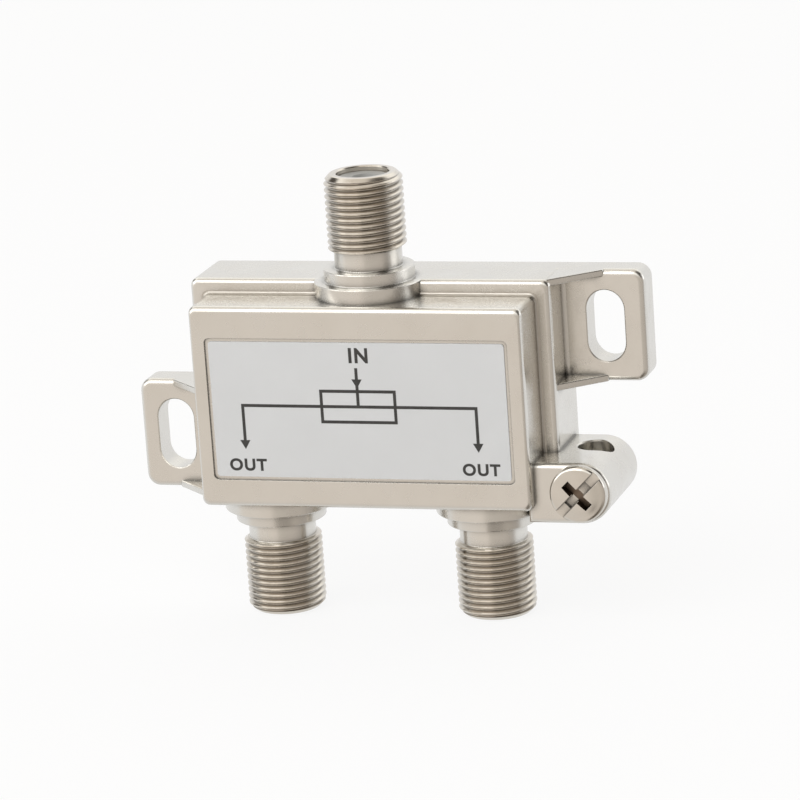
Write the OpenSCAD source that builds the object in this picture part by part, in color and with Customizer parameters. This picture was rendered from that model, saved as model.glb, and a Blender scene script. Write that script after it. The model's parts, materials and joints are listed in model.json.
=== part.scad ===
// Two-way coaxial splitter in a die-cast housing.
// One threaded port points up and two point down, two slotted ears fix it to a wall,
// and a lug at the lower right clamps a ground wire under a screw.
// The origin is on the wall plane at the middle of the back, +X right, +Z up, -Y to the viewer.

/* [Housing] */
// Width of the front block
body_w = 41.5; // [40:0.1:50]
// Height of the front block
body_h = 24.9; // [24:0.1:32]
// Depth from the wall to the front face
body_d = 16; // [15:0.1:20]
// Depth of the wider back block
back_d = 9.3; // [8.6:0.1:10]
// Step from the front block out to the back block, on all four sides
step = 1.85; // [1.4:0.05:2.6]
// Radius of the outer edges
edge_r = 0.8; // [0.3:0.05:1]
// Radius of the hollow corner at the step and at the ears' roots
cove_r = 0.5; // [0.4:0.05:1.2]
// Wall around the hollow
wall = 1.8; // [1.5:0.05:2.2]
// Thickness of the front wall
front_wall = 1.6; // [1.2:0.05:2.4]

/* [Ports] */
// Distance between the two lower ports
port_spacing = 26.9; // [24:0.1:28]
// Depth of the ports' axes, measured from the wall
port_y = 8; // [7.8:0.1:8.4]
// Distance from the middle of the housing to a port's rim
port_reach = 27.3; // [25:0.1:30]
// Diameter over the thread
thread_d = 9.525; // [9:0.005:10]
// Diameter of the bare neck behind the thread
neck_d = 8.2; // [7.8:0.1:8.6]
// Diameter of the boss that rises from the front block
boss_d = 13.5; // [12.5:0.1:14]
// Diameter of the collar on the boss
collar_d = 11; // [10.2:0.1:12]
// Height of the collar
collar_h = 1.5; // [1:0.1:2]
// Length of the bare neck
neck_len = 2.35; // [1:0.05:3]
// Height and width of the bevel at the rim
rim_bevel = 0.75; // [0.4:0.05:1]
// Diameter of the port's bore
bore_d = 6.4; // [6:0.1:6.6]

/* [Ears] */
// Thickness of an ear
ear_t = 3.8; // [2.5:0.1:4.5]
// Height of an ear
ear_h = 13.8; // [12:0.1:14]
// Reach of the right ear from the middle
right_reach = 32.8; // [32:0.1:36]
// Reach of the left ear from the middle
left_reach = 32.3; // [31.4:0.1:36]
// Height of the left ear's middle, counted from the middle of the housing
left_ear_z = -6.8; // [-7.5:0.1:-6]
// Corner radius of an ear
ear_r = 1.6; // [1:0.1:2.5]
// Distance of a slot's middle from the middle of the housing
slot_x = 27.8; // [27.2:0.1:28.4]
// Width of a slot
slot_w = 4.65; // [4.2:0.05:5.4]
// Length of a slot, over its round ends
slot_len = 8.8; // [8:0.05:9.6]
// Thickness of the gussets along an ear's upper and lower edges
gusset_t = 0.85; // [0.6:0.05:1]
// Reach of the gussets from the housing's side
gusset_reach = 5.2; // [4:0.1:6]

/* [Ground lug] */
// Height of the lug, which is also the width of its round end
lug_h = 7.5; // [7.3:0.1:9]
// Distance of the lug's round end and its screw from the middle
lug_x = 26.3; // [26:0.1:29]
// Distance of the lug's front pad from the wall
lug_front = 14.4; // [13.8:0.1:15]
// Distance of the lug's back from the wall
lug_back = 1.3; // [1:0.1:3]
// Diameter of the ground wire's hole
wire_d = 4.4; // [3.5:0.1:4.8]
// Distance of the ground wire's hole from the wall
wire_y = 5.9; // [5.5:0.1:8]

/* [Ground screw] */
// Diameter over the screw's thread
screw_d = 3.9; // [3.4:0.1:4.2]
// Length of the screw under its head
screw_len = 8; // [7:0.1:9]
// Height of the screw's axis over the middle of the lug
screw_rise = 0.25; // [0:0.05:0.4]
// Diameter of the screw's head
head_d = 7; // [6.6:0.1:7.6]
// Height of the screw's head
head_h = 1.7; // [1.5:0.05:2.4]
// Drop of the head's top toward its edge
head_crown = 0.35; // [0.2:0.05:0.6]
// Width of a wing of the cross recess
cross_w = 1.15; // [0.8:0.05:1.4]
// Span of the cross recess
cross_span = 4.3; // [3.6:0.1:4.8]
// Depth of the cross recess
cross_depth = 1.1; // [0.8:0.05:1.25]
// Width of the driver slot
driver_w = 1.1; // [0.6:0.05:1.3]
// Depth of the driver slot
driver_depth = 0.7; // [0.5:0.05:0.9]
// Turn of the recesses about the screw's axis
recess_turn = 45; // [0:5:90]

/* [Label] */
// Width of the label
label_w = 36.9; // [34:0.1:37.4]
// Height of the label
label_h = 16.8; // [14:0.1:17.6]
// Thickness of the label
label_t = 0.15; // [0.1:0.01:0.25]
// Corner radius of the label
label_r = 0.4; // [0.2:0.1:1]
// Height of the label's middle, counted from the middle of the housing
label_z = -0.2; // [-0.6:0.1:0.6]
// Depth of the label's recess
recess_depth = 0.25; // [0.15:0.01:0.4]
// Bare border of the recess round the label
recess_border = 0.45; // [0.2:0.05:0.6]

/* [Back cover] */
// Thickness of the back cover
cover_t = 0.6; // [0.4:0.05:0.8]
// Width of the ledge that the cover rests on
ledge_w = 0.9; // [0.8:0.05:1.1]
// Width of the solder seam round the cover
seam_w = 0.45; // [0.3:0.05:0.6]

/* [Port inserts] */
// Depth of the insulator's face below the rim
insulator_drop = 0.6; // [0.4:0.05:1]
// Diameter of the insulator's flange inside the housing
flange_d = 7.6; // [7.2:0.1:8]
// Thickness of the insulator's flange
flange_t = 1.2; // [0.8:0.1:1.5]
// Diameter of the opening for the centre wire
mouth_d = 1.4; // [1.2:0.1:1.6]
// Diameter of the funnel in front of that opening
funnel_d = 2.6; // [2.2:0.1:3]
// Depth of the funnel
funnel_depth = 0.7; // [0.4:0.05:0.9]
// Thickness of the insulator's front, from its face to the contact
front_skin = 1.3; // [1.1:0.1:1.8]
// Outer diameter of the spring contact
contact_d = 2.2; // [2:0.05:2.4]
// Inner diameter of the spring contact
contact_bore = 1.1; // [0.9:0.05:1.2]
// Length of the slit that makes the contact's two fingers
slit_len = 9; // [6:0.5:11]
// Width of that slit
slit_w = 0.3; // [0.2:0.05:0.4]
// Width of the contact's solder tail
tail_w = 1.8; // [1.4:0.1:2.2]
// Thickness of the contact's solder tail
tail_t = 0.45; // [0.35:0.05:0.5]
// Length of the solder tail past the insulator
tail_len = 3.2; // [2.4:0.1:3.6]

/* [Circuit] */
// Thickness of the circuit board
board_t = 1; // [0.8:0.1:1.6]
// Distance of the board's front face from the wall
board_y = 7.5; // [7.3:0.1:7.7]
// Width of a transformer's ferrite core
core_w = 4.8; // [4.2:0.1:5.4]
// Height of a ferrite core above the board
core_h = 2.8; // [2.4:0.1:3.2]
// Length of a ferrite core along its holes
core_len = 3.2; // [2.6:0.1:3.6]
// Diameter of a core's two holes
core_hole_d = 1.2; // [1:0.1:1.4]
// Distance between a core's two holes
core_hole_gap = 2.1; // [1.9:0.1:2.3]
// Diameter of the winding wire
wire_gauge = 0.26; // [0.2:0.01:0.3]
// Turns on each core
turns = 3; // [2:1:3]
// Distance between neighbouring turns
turn_pitch = 0.3; // [0.3:0.01:0.34]
// Length of a chip part
chip_len = 2; // [1.6:0.1:2.4]
// Width of a chip part
chip_w = 1.25; // [0.8:0.05:1.5]
// Height of a chip capacitor
capacitor_h = 0.9; // [0.6:0.05:1.2]
// Height of the chip resistor
resistor_h = 0.55; // [0.4:0.05:0.7]
// Length of a chip's end cap
cap_len = 0.4; // [0.3:0.05:0.5]

/* [Fits] */
// Clearance round a pressed-in insulator
insert_gap = 0.05; // [0.03:0.01:0.1]
// Clearance round the screw's thread
screw_gap = 0.1; // [0.05:0.01:0.15]
// Clearance of the board at the wall and round the flanges
board_gap = 0.25; // [0.15:0.05:0.4]

/* [Hidden] */
$fn = 48;
eps = 0.01;
// Cuts run this far past the faces that they open.
over = 1;
// The bosses and ears start this far inside the block that carries them.
root = 1;

back_w = body_w + 2 * step;
back_h = body_h + 2 * step;
thread_start = back_h / 2 + collar_h + neck_len;
hollow_w = body_w - 2 * wall;
hollow_h = body_h - 2 * wall;
back_hollow_w = back_w - 2 * wall;
back_hollow_h = back_h - 2 * wall;
seat_w = back_hollow_w + 2 * ledge_w;
seat_h = back_hollow_h + 2 * ledge_w;
right_ear_z = (back_h - ear_h) / 2;
lug_z = (lug_h - back_h) / 2;
screw_z = lug_z + screw_rise;
face_z = port_reach - insulator_drop;
contact_top = face_z - front_skin;
flange_z = hollow_h / 2 - flange_t;
// Places of the parts on the board, from the middle of the housing
match_z = 1.8;
split_z = -4.4;
resistor_z = -8.6;
capacitor_x = 4.2;
in_capacitor_z = 6;
trim_z = 5;
out_capacitor_x = 9.2;
out_capacitor_z = -7;

metal = [0.80, 0.76, 0.71];
tin = [0.78, 0.78, 0.76];
brass = [0.80, 0.68, 0.38];
ivory = [0.62, 0.62, 0.60];
ferrite = [0.20, 0.20, 0.21];
copper = [0.72, 0.42, 0.22];

// Rectangle with four round corners, centred
module round_rect(w, h, r) {
    square([w - 2 * r, h], center = true);
    square([w, h - 2 * r], center = true);
    for (x = [-1, 1], y = [-1, 1])
        translate([x * (w / 2 - r), y * (h / 2 - r)]) circle(r);
}

// Depth along the first axis, from a sharp back at 0 to two round front corners at -d
module depth_profile(d, span, r) {
    translate([r - d, -span / 2]) square([d - r, span]);
    translate([-d, r - span / 2]) square([d, span - 2 * r]);
    for (side = [-1, 1])
        translate([r - d, side * (span / 2 - r)]) circle(r);
}

// Slot with round ends, upright
module slot_outline(w, len) {
    square([w, len - w], center = true);
    for (end = [-1, 1])
        translate([0, end * (len - w) / 2]) circle(w / 2);
}

// Outline in XZ extruded between two distances from the wall
module from_wall(front, back) {
    translate([0, -back, 0]) rotate([90, 0, 0]) linear_extrude(front - back) children();
}

// Block against the wall with round corners and round front edges
module soft_block(w, d, h, corner, edge) {
    intersection() {
        from_wall(d, 0) round_rect(w, h, corner);
        rotate([0, 0, 90]) linear_extrude(h, center = true) depth_profile(d, w, edge);
        rotate([90, 0, 90]) linear_extrude(w, center = true) depth_profile(d, h, edge);
    }
}

// Filler of a hollow corner along Z, with its corner at the origin and its arms along +X and -Y
module cove(len, r) {
    linear_extrude(len, center = true) difference() {
        translate([-eps, -r]) square([r + eps, r + eps]);
        translate([r, -r]) circle(r);
    }
}

// Places a piece drawn on the upper port's axis at one port; side is 1 above and -1 below
module at_port(x, side) {
    translate([x, -port_y, 0]) mirror([0, 0, side < 0 ? 1 : 0]) children();
}

module at_all_ports() {
    at_port(0, 1) children();
    at_port(-port_spacing / 2, -1) children();
    at_port(port_spacing / 2, -1) children();
}

// Boss, collar, neck and threaded barrel of one port
module port_body() {
    rotate_extrude() polygon([
        [0, body_h / 2 - root],
        [boss_d / 2, body_h / 2 - root],
        [boss_d / 2, back_h / 2],
        [collar_d / 2, back_h / 2],
        [collar_d / 2, back_h / 2 + collar_h],
        [neck_d / 2, back_h / 2 + collar_h],
        [neck_d / 2, thread_start],
        [thread_d / 2, thread_start],
        [thread_d / 2, port_reach - rim_bevel],
        [thread_d / 2 - rim_bevel, port_reach],
        [0, port_reach]
    ]);
}

// Bore of one port, from the hollow to the rim
module port_bore() {
    translate([0, 0, hollow_h / 2 - over]) cylinder(h = port_reach - hollow_h / 2 + 2 * over, d = bore_d);
}

// Hollow corners where the front block stands on the back block
module step_coves() {
    for (side = [0, 1]) {
        mirror([side, 0, 0]) translate([body_w / 2, -back_d, 0]) cove(body_h, cove_r);
        mirror([0, 0, side]) translate([0, -back_d, body_h / 2]) rotate([0, -90, 0]) cove(body_w, cove_r);
    }
}

// Triangular web along an ear's edge, between two heights
module gusset(z) {
    side = back_w / 2;
    translate([0, 0, z]) linear_extrude(gusset_t) polygon([
        [side - root, -back_d + edge_r],
        [side, -back_d + edge_r],
        [side + gusset_reach, -ear_t],
        [side + gusset_reach, -ear_t + root],
        [side - root, -ear_t + root]
    ]);
}

// Ear on the right with its gussets and the hollow corner at its root
module ear(reach, z) {
    side = back_w / 2;
    plate_w = reach - side + root + ear_r;
    translate([reach - plate_w / 2, 0, z]) soft_block(plate_w, ear_t, ear_h, ear_r, edge_r);
    gusset(z + ear_h / 2 - gusset_t);
    gusset(z - ear_h / 2);
    translate([side, -ear_t, z]) cove(ear_h - gusset_t, cove_r);
}

// Half section of the lug's round end, with the front edge round
module lug_section() {
    depth = lug_front - lug_back;
    square([lug_h / 2, depth - edge_r]);
    square([lug_h / 2 - edge_r, depth]);
    translate([lug_h / 2 - edge_r, depth - edge_r]) circle(edge_r);
}

module lug() {
    start = body_w / 2 - root;
    translate([start, -lug_back, lug_z]) rotate([90, 0, 90])
        linear_extrude(lug_x - start) depth_profile(lug_front - lug_back, lug_h, edge_r);
    translate([lug_x, -lug_back, lug_z]) rotate([90, 0, 0]) rotate_extrude() lug_section();
}

// Room for the circuit: narrow in the front block, wide behind the ledge that carries the board
module hollow() {
    from_wall(body_d - front_wall, board_y - eps) round_rect(hollow_w, hollow_h, edge_r);
    from_wall(board_y, -over) round_rect(back_hollow_w, back_hollow_h, edge_r);
    from_wall(cover_t, -over) round_rect(seat_w, seat_h, edge_r);
}

module label_recess() {
    translate([0, 0, label_z]) from_wall(body_d + over, body_d - recess_depth)
        round_rect(label_w + 2 * recess_border, label_h + 2 * recess_border, label_r + recess_border);
}

module ear_slot(x, z) {
    translate([x, 0, z]) from_wall(ear_t + over, -over) slot_outline(slot_w, slot_len);
}

module wire_hole() {
    translate([lug_x, -wire_y, lug_z]) cylinder(h = lug_h + 2 * over, d = wire_d, center = true);
}

module screw_hole() {
    translate([lug_x, -wire_y, screw_z]) rotate([90, 0, 0])
        cylinder(h = lug_front - wire_y + over, d = screw_d + 2 * screw_gap);
}

module housing() {
    color(metal) difference() {
        union() {
            soft_block(body_w, body_d, body_h, edge_r, edge_r);
            soft_block(back_w, back_d, back_h, edge_r, edge_r);
            step_coves();
            at_all_ports() port_body();
            ear(right_reach, right_ear_z);
            mirror([1, 0, 0]) ear(left_reach, left_ear_z);
            lug();
        }
        hollow();
        label_recess();
        at_all_ports() port_bore();
        ear_slot(slot_x, right_ear_z);
        ear_slot(-slot_x, left_ear_z);
        wire_hole();
        screw_hole();
    }
}

module rear_cover() {
    color(tin) from_wall(cover_t, 0)
        round_rect(seat_w - 2 * seam_w, seat_h - 2 * seam_w, edge_r);
}

// Solder that fills the seam between the cover and its seat
module cover_solder() {
    color(tin) from_wall(cover_t, 0) difference() {
        round_rect(seat_w, seat_h, edge_r);
        round_rect(seat_w - 2 * seam_w, seat_h - 2 * seam_w, edge_r);
    }
}

module label() {
    floor_y = body_d - recess_depth;
    color("whitesmoke") translate([0, 0, label_z])
        from_wall(floor_y + label_t, floor_y) round_rect(label_w, label_h, label_r);
}

// Half section of the head, with a crown that falls toward the edge along an arc
module head_section() {
    crown_r = (pow(head_d / 2, 2) + pow(head_crown, 2)) / (2 * head_crown);
    spread = asin(head_d / 2 / crown_r);
    arc_steps = 5;
    polygon(concat(
        [[0, 0], [head_d / 2, 0]],
        [for (i = [0 : arc_steps])
            let (a = spread * (1 - i / arc_steps))
            [crown_r * sin(a), head_h - crown_r * (1 - cos(a))]]
    ));
}

// One pair of wings of the cross recess, narrower at the bottom
module cross_wings() {
    floor_w = 0.6 * cross_w;
    rotate([90, 0, 90]) linear_extrude(cross_span, center = true) polygon([
        [-floor_w / 2, head_h - cross_depth],
        [floor_w / 2, head_h - cross_depth],
        [cross_w / 2, head_h],
        [cross_w / 2, head_h + over],
        [-cross_w / 2, head_h + over],
        [-cross_w / 2, head_h]
    ]);
}

module ground_screw() {
    color(tin) translate([lug_x, -lug_front, screw_z]) rotate([90, 0, 0]) {
        difference() {
            rotate_extrude() head_section();
            rotate(recess_turn) {
                cross_wings();
                rotate(90) cross_wings();
                translate([-head_d, -driver_w / 2, head_h - driver_depth])
                    cube([2 * head_d, driver_w, driver_depth + over]);
            }
        }
        translate([0, 0, -screw_len]) cylinder(h = screw_len + eps, d = screw_d);
    }
}

// Insulator drawn on the upper port's axis: a barrel with a flange against the hollow's wall
module insulator() {
    color(ivory) rotate_extrude() polygon([
        [contact_d / 2 + insert_gap, flange_z],
        [flange_d / 2, flange_z],
        [flange_d / 2, hollow_h / 2],
        [bore_d / 2 - insert_gap, hollow_h / 2],
        [bore_d / 2 - insert_gap, face_z],
        [funnel_d / 2, face_z],
        [mouth_d / 2, face_z - funnel_depth],
        [mouth_d / 2, contact_top],
        [contact_d / 2 + insert_gap, contact_top]
    ]);
}

// Tube with two spring fingers and a flat tail that lies on the board
module contact() {
    plug = 1;
    color(brass) {
        difference() {
            translate([0, 0, flange_z]) cylinder(h = contact_top - flange_z, d = contact_d);
            translate([0, 0, flange_z + plug]) cylinder(h = contact_top - flange_z, d = contact_bore);
            translate([-slit_w / 2, -contact_d, contact_top - slit_len])
                cube([slit_w, 2 * contact_d, slit_len + over]);
        }
        translate([-tail_w / 2, port_y - board_y - tail_t, flange_z - tail_len])
            cube([tail_w, tail_t, tail_len + plug / 2]);
    }
}

// Places a part drawn with +Z as its height on the board's front face
module on_board(x, z) {
    translate([x, -board_y, z]) rotate([90, 0, 0]) children();
}

// The board, notched round the three flanges
module circuit_board() {
    notch_w = flange_d + 2 * board_gap;
    board_w = back_hollow_w - 2 * board_gap;
    board_h = back_hollow_h - 2 * board_gap;
    notch_h = board_h / 2 - flange_z + board_gap;
    color([0.36, 0.30, 0.16]) from_wall(board_y, board_y - board_t) difference() {
        round_rect(board_w, board_h, edge_r);
        for (port = [[0, 1], [-port_spacing / 2, -1], [port_spacing / 2, -1]])
            translate([port[0], port[1] * (board_h - notch_h + over) / 2])
                square([notch_w, notch_h + over], center = true);
    }
}

// Ferrite block with two holes along the board
module core() {
    color(ferrite) translate([0, core_len / 2, core_h / 2]) rotate([90, 0, 0]) linear_extrude(core_len)
        difference() {
            round_rect(core_w, core_h, edge_r);
            for (side = [-1, 1])
                translate([side * core_hole_gap / 2, 0]) circle(d = core_hole_d);
        }
}

// Closed turns through both holes, held at the bend by the two leads that run down to the board
module winding() {
    straight = core_len + wire_gauge;
    color(copper) {
        for (turn = [0 : turns - 1])
            translate([0, 0, core_h / 2 + (turn - (turns - 1) / 2) * turn_pitch]) {
                for (side = [-1, 1])
                    translate([side * core_hole_gap / 2, 0, 0]) rotate([90, 0, 0])
                        cylinder(h = straight, d = wire_gauge, center = true);
                for (end = [0, 1])
                    mirror([0, end, 0]) translate([0, straight / 2, 0]) rotate_extrude(angle = 180)
                        translate([core_hole_gap / 2, 0]) circle(d = wire_gauge);
            }
        for (end = [-1, 1])
            translate([0, end * (straight + core_hole_gap) / 2, 0])
                cylinder(h = core_h / 2 + (turns - 1) / 2 * turn_pitch, d = wire_gauge);
    }
}

// Chip part: a body between two end caps
module chip(height, shade) {
    inset = 0.04;
    color(shade) translate([cap_len - chip_len / 2, inset - chip_w / 2, 0])
        cube([chip_len - 2 * cap_len, chip_w - 2 * inset, height - inset]);
    for (side = [0, 1])
        color(tin) mirror([side, 0, 0]) translate([chip_len / 2 - cap_len, -chip_w / 2, 0])
            cube([cap_len, chip_w, height]);
}

module in_insulator() { at_port(0, 1) insulator(); }
module out_left_insulator() { at_port(-port_spacing / 2, -1) insulator(); }
module out_right_insulator() { at_port(port_spacing / 2, -1) insulator(); }
module in_contact() { at_port(0, 1) contact(); }
module out_left_contact() { at_port(-port_spacing / 2, -1) contact(); }
module out_right_contact() { at_port(port_spacing / 2, -1) contact(); }
module match_core() { on_board(0, match_z) core(); }
module match_winding() { on_board(0, match_z) winding(); }
module split_core() { on_board(0, split_z) core(); }
module split_winding() { on_board(0, split_z) winding(); }
module isolation_resistor() { on_board(0, resistor_z) chip(resistor_h, "dimgray"); }
module in_capacitor() { on_board(-capacitor_x, in_capacitor_z) chip(capacitor_h, "tan"); }
module out_left_capacitor() { on_board(-out_capacitor_x, out_capacitor_z) chip(capacitor_h, "tan"); }
module out_right_capacitor() { on_board(out_capacitor_x, out_capacitor_z) chip(capacitor_h, "tan"); }
module trim_capacitor() { on_board(capacitor_x, trim_z) chip(capacitor_h, "tan"); }

housing();
rear_cover();
cover_solder();
label();
ground_screw();
in_insulator();
out_left_insulator();
out_right_insulator();
in_contact();
out_left_contact();
out_right_contact();
circuit_board();
match_core();
match_winding();
split_core();
split_winding();
isolation_resistor();
in_capacitor();
out_left_capacitor();
out_right_capacitor();
trim_capacitor();
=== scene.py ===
"""Looks of a two-way coaxial splitter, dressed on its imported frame.

The frame is in metres, with the wall plane at Y = 0, +X to the viewer's right, +Z up along
the input port and -Y toward the viewer. The die casting with its cut threads, the ground
screw, the insulators and the print on the label are modelled here. Every other piece keeps
its own mesh and gets a finish.
"""

import json
import logging
import math
from collections.abc import Callable
from dataclasses import dataclass, field
from enum import Enum

import bpy
from mathutils import Matrix, Vector


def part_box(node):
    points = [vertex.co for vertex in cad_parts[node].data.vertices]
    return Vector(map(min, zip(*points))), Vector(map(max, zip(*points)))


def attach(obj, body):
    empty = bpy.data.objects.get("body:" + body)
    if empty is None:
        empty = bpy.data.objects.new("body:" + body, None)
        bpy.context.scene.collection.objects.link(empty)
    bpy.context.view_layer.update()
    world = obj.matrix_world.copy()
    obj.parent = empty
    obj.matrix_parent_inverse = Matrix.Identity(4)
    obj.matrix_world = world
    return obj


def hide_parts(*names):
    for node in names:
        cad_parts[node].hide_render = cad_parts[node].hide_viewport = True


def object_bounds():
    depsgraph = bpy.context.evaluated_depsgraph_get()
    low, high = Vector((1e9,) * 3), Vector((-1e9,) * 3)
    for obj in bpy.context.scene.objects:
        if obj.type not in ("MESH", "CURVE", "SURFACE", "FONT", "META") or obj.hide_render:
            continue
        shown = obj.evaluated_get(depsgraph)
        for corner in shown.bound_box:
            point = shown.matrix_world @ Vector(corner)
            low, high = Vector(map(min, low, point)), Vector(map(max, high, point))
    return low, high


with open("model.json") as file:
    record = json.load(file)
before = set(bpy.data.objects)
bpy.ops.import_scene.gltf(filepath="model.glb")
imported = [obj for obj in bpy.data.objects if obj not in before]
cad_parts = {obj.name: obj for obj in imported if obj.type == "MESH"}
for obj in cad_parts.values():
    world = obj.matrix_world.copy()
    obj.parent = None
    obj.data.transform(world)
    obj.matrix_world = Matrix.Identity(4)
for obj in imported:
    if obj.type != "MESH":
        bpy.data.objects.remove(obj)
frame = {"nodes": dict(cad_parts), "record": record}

MM = 0.001
log = logging.getLogger("splitter")

Colour = tuple[float, float, float]
CAD_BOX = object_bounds()
PORTS = ("in_port", "out_left_port", "out_right_port")


class Body(Enum):
    """The two bodies that the pieces ride on."""

    SPLITTER = "splitter"
    SCREW = "clamp_screw"


class Slot(Enum):
    """The record's material slots, which the script lists and does not read."""

    CASTING = "nickel_casting"
    LABEL = "label_film"
    SCREW = "zinc_plated_steel"
    INSULATOR = "insulator_plastic"


class Nodes:
    """Builds one material's node tree, with lengths in millimetres."""

    def __init__(self, name: str) -> None:
        """Starts an empty material.

        Args:
            name: the material's name.
        """
        self.material = bpy.data.materials.new(name)
        self.material.use_nodes = True
        self.tree = self.material.node_tree
        self.shader = self.tree.nodes["Principled BSDF"]
        place = self.tree.nodes.new("ShaderNodeTexCoord")
        self.mapping = self.tree.nodes.new("ShaderNodeMapping")
        self.mapping.inputs["Scale"].default_value = (1 / MM,) * 3
        self.tree.links.new(place.outputs["Object"], self.mapping.inputs["Vector"])

    def add(self, kind: str, **values: object) -> bpy.types.Node:
        """Adds a node and sets its inputs or properties.

        Args:
            kind: the node's Blender type.
            values: numbers for input sockets by their name, or links as sockets.

        Returns:
            The new node.
        """
        node = self.tree.nodes.new(kind)
        for name, value in values.items():
            if hasattr(node, name):
                setattr(node, name, value)
                continue
            socket = node.inputs[name.replace("_", " ")]
            if isinstance(value, bpy.types.NodeSocket):
                self.tree.links.new(value, socket)
            else:
                socket.default_value = value
        return node

    def noise(self, size: float, detail: float = 2, stretch: Colour = (1, 1, 1)) -> bpy.types.NodeSocket:
        """Adds noise with features of one size.

        Args:
            size: the size of a feature, in millimetres.
            detail: finer octaves added to it.
            stretch: how many times longer a feature is along each axis.

        Returns:
            The noise's value, from 0 to 1.
        """
        place = self.add("ShaderNodeMapping", Scale=[1 / part for part in stretch])
        self.tree.links.new(self.mapping.outputs["Vector"], place.inputs["Vector"])
        node = self.add("ShaderNodeTexNoise", Vector=place.outputs["Vector"], Scale=1 / size, Detail=detail)
        return node.outputs["Fac"]

    def range(self, value: bpy.types.NodeSocket, low: float, high: float) -> bpy.types.NodeSocket:
        """Spreads the middle of a noise over a range.

        Args:
            value: the noise.
            low: the result where the noise is low.
            high: the result where the noise is high.

        Returns:
            The spread value.
        """
        node = self.add("ShaderNodeMapRange", From_Min=0.3, From_Max=0.7, To_Min=low, To_Max=high)
        self.tree.links.new(value, node.inputs["Value"])
        return node.outputs["Result"]

    def tones(self, value: bpy.types.NodeSocket, low: Colour, high: Colour) -> bpy.types.NodeSocket:
        """Turns a noise into a drift between two colours.

        Args:
            value: the noise.
            low: the colour where the noise is low.
            high: the colour where the noise is high.

        Returns:
            The colour.
        """
        ramp = self.add("ShaderNodeValToRGB", Fac=value)
        ramp.color_ramp.elements[0].position = 0.3
        ramp.color_ramp.elements[0].color = (*low, 1)
        ramp.color_ramp.elements[1].position = 0.7
        ramp.color_ramp.elements[1].color = (*high, 1)
        return ramp.outputs["Color"]

    def bump(
        self, height: bpy.types.NodeSocket, depth: float, under: bpy.types.NodeSocket | None = None
    ) -> bpy.types.NodeSocket:
        """Adds a relief.

        Args:
            height: the relief, from 0 to 1.
            depth: its full depth, in millimetres.
            under: the normal that it lies on, or None for the mesh's own.

        Returns:
            The bent normal.
        """
        node = self.add("ShaderNodeBump", Height=height, Strength=1.0, Distance=depth * MM)
        if under is not None:
            self.tree.links.new(under, node.inputs["Normal"])
        return node.outputs["Normal"]

    def soft_edges(self, radius: float) -> bpy.types.NodeSocket:
        """Rounds the shading of sharp edges.

        Args:
            radius: the radius of the rounding, in millimetres.

        Returns:
            The rounded normal.
        """
        return self.add("ShaderNodeBevel", samples=4, Radius=radius * MM).outputs["Normal"]

    def painted_hollow_shade(self, colour: bpy.types.NodeSocket, share: float, reach: float) -> bpy.types.NodeSocket:
        """Darkens a colour in narrow hollow places: painted shade, from ambient occlusion.

        Args:
            colour: the colour of open surfaces.
            share: the share of it that is left in the narrowest hollow places.
            reach: how wide a hollow may be, in millimetres.

        Returns:
            The darkened colour.
        """
        depth = self.add("ShaderNodeAmbientOcclusion", samples=6, only_local=True, Distance=reach * MM)
        spread = self.add("ShaderNodeMapRange", From_Min=0.47, From_Max=0.87, To_Min=share, To_Max=1.0)
        self.tree.links.new(depth.outputs["AO"], spread.inputs["Value"])
        scaled = self.add("ShaderNodeVectorMath", operation="SCALE", Scale=spread.outputs["Result"])
        self.tree.links.new(colour, scaled.inputs[0])
        return scaled.outputs["Vector"]

    def finish(
        self,
        colour: bpy.types.NodeSocket,
        roughness: bpy.types.NodeSocket,
        normal: bpy.types.NodeSocket,
        metallic: float = 0.0,
    ) -> bpy.types.Material:
        """Joins the parts to the shader.

        Args:
            colour: the base colour.
            roughness: the roughness.
            normal: the bent normal.
            metallic: 1 for bare metal and 0 for anything else.

        Returns:
            The finished material.
        """
        self.tree.links.new(colour, self.shader.inputs["Base Color"])
        self.tree.links.new(roughness, self.shader.inputs["Roughness"])
        self.tree.links.new(normal, self.shader.inputs["Normal"])
        self.shader.inputs["Metallic"].default_value = metallic
        return self.material


@dataclass(frozen=True)
class CastMetal:
    """Plated or plain metal with a slow drift in tone, painted shade in its hollow places, a fine grain and soft
    edges.
    """

    name: str
    tone: Colour
    stain: Colour
    roughness: tuple[float, float]
    drift: float = 5.0
    grain: float = 0.16
    grain_depth: float = 0.0016
    waves: float = 1.6
    wave_depth: float = 0.002
    edge: float = 0.08
    stretch: Colour = (1, 1, 1)
    # The share of colour left and the reach, in millimetres, of the painted shade in hollow places.
    painted_shade_share: float = 0.3
    painted_shade_reach: float = 1.1

    def build(self) -> bpy.types.Material:
        """Returns the finished material."""
        nodes = Nodes(self.name)
        colour = nodes.tones(nodes.noise(self.drift, 5), self.tone, self.stain)
        # Painted shade: the colour darkens in hollow places.
        colour = nodes.painted_hollow_shade(colour, self.painted_shade_share, self.painted_shade_reach)
        roughness = nodes.range(nodes.noise(self.drift / 3, 4, self.stretch), *self.roughness)
        normal = nodes.soft_edges(self.edge)
        normal = nodes.bump(nodes.noise(self.waves, 1), self.wave_depth, normal)
        normal = nodes.bump(nodes.noise(self.grain, 2, self.stretch), self.grain_depth, normal)
        return nodes.finish(colour, roughness, normal, metallic=1.0)


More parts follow.
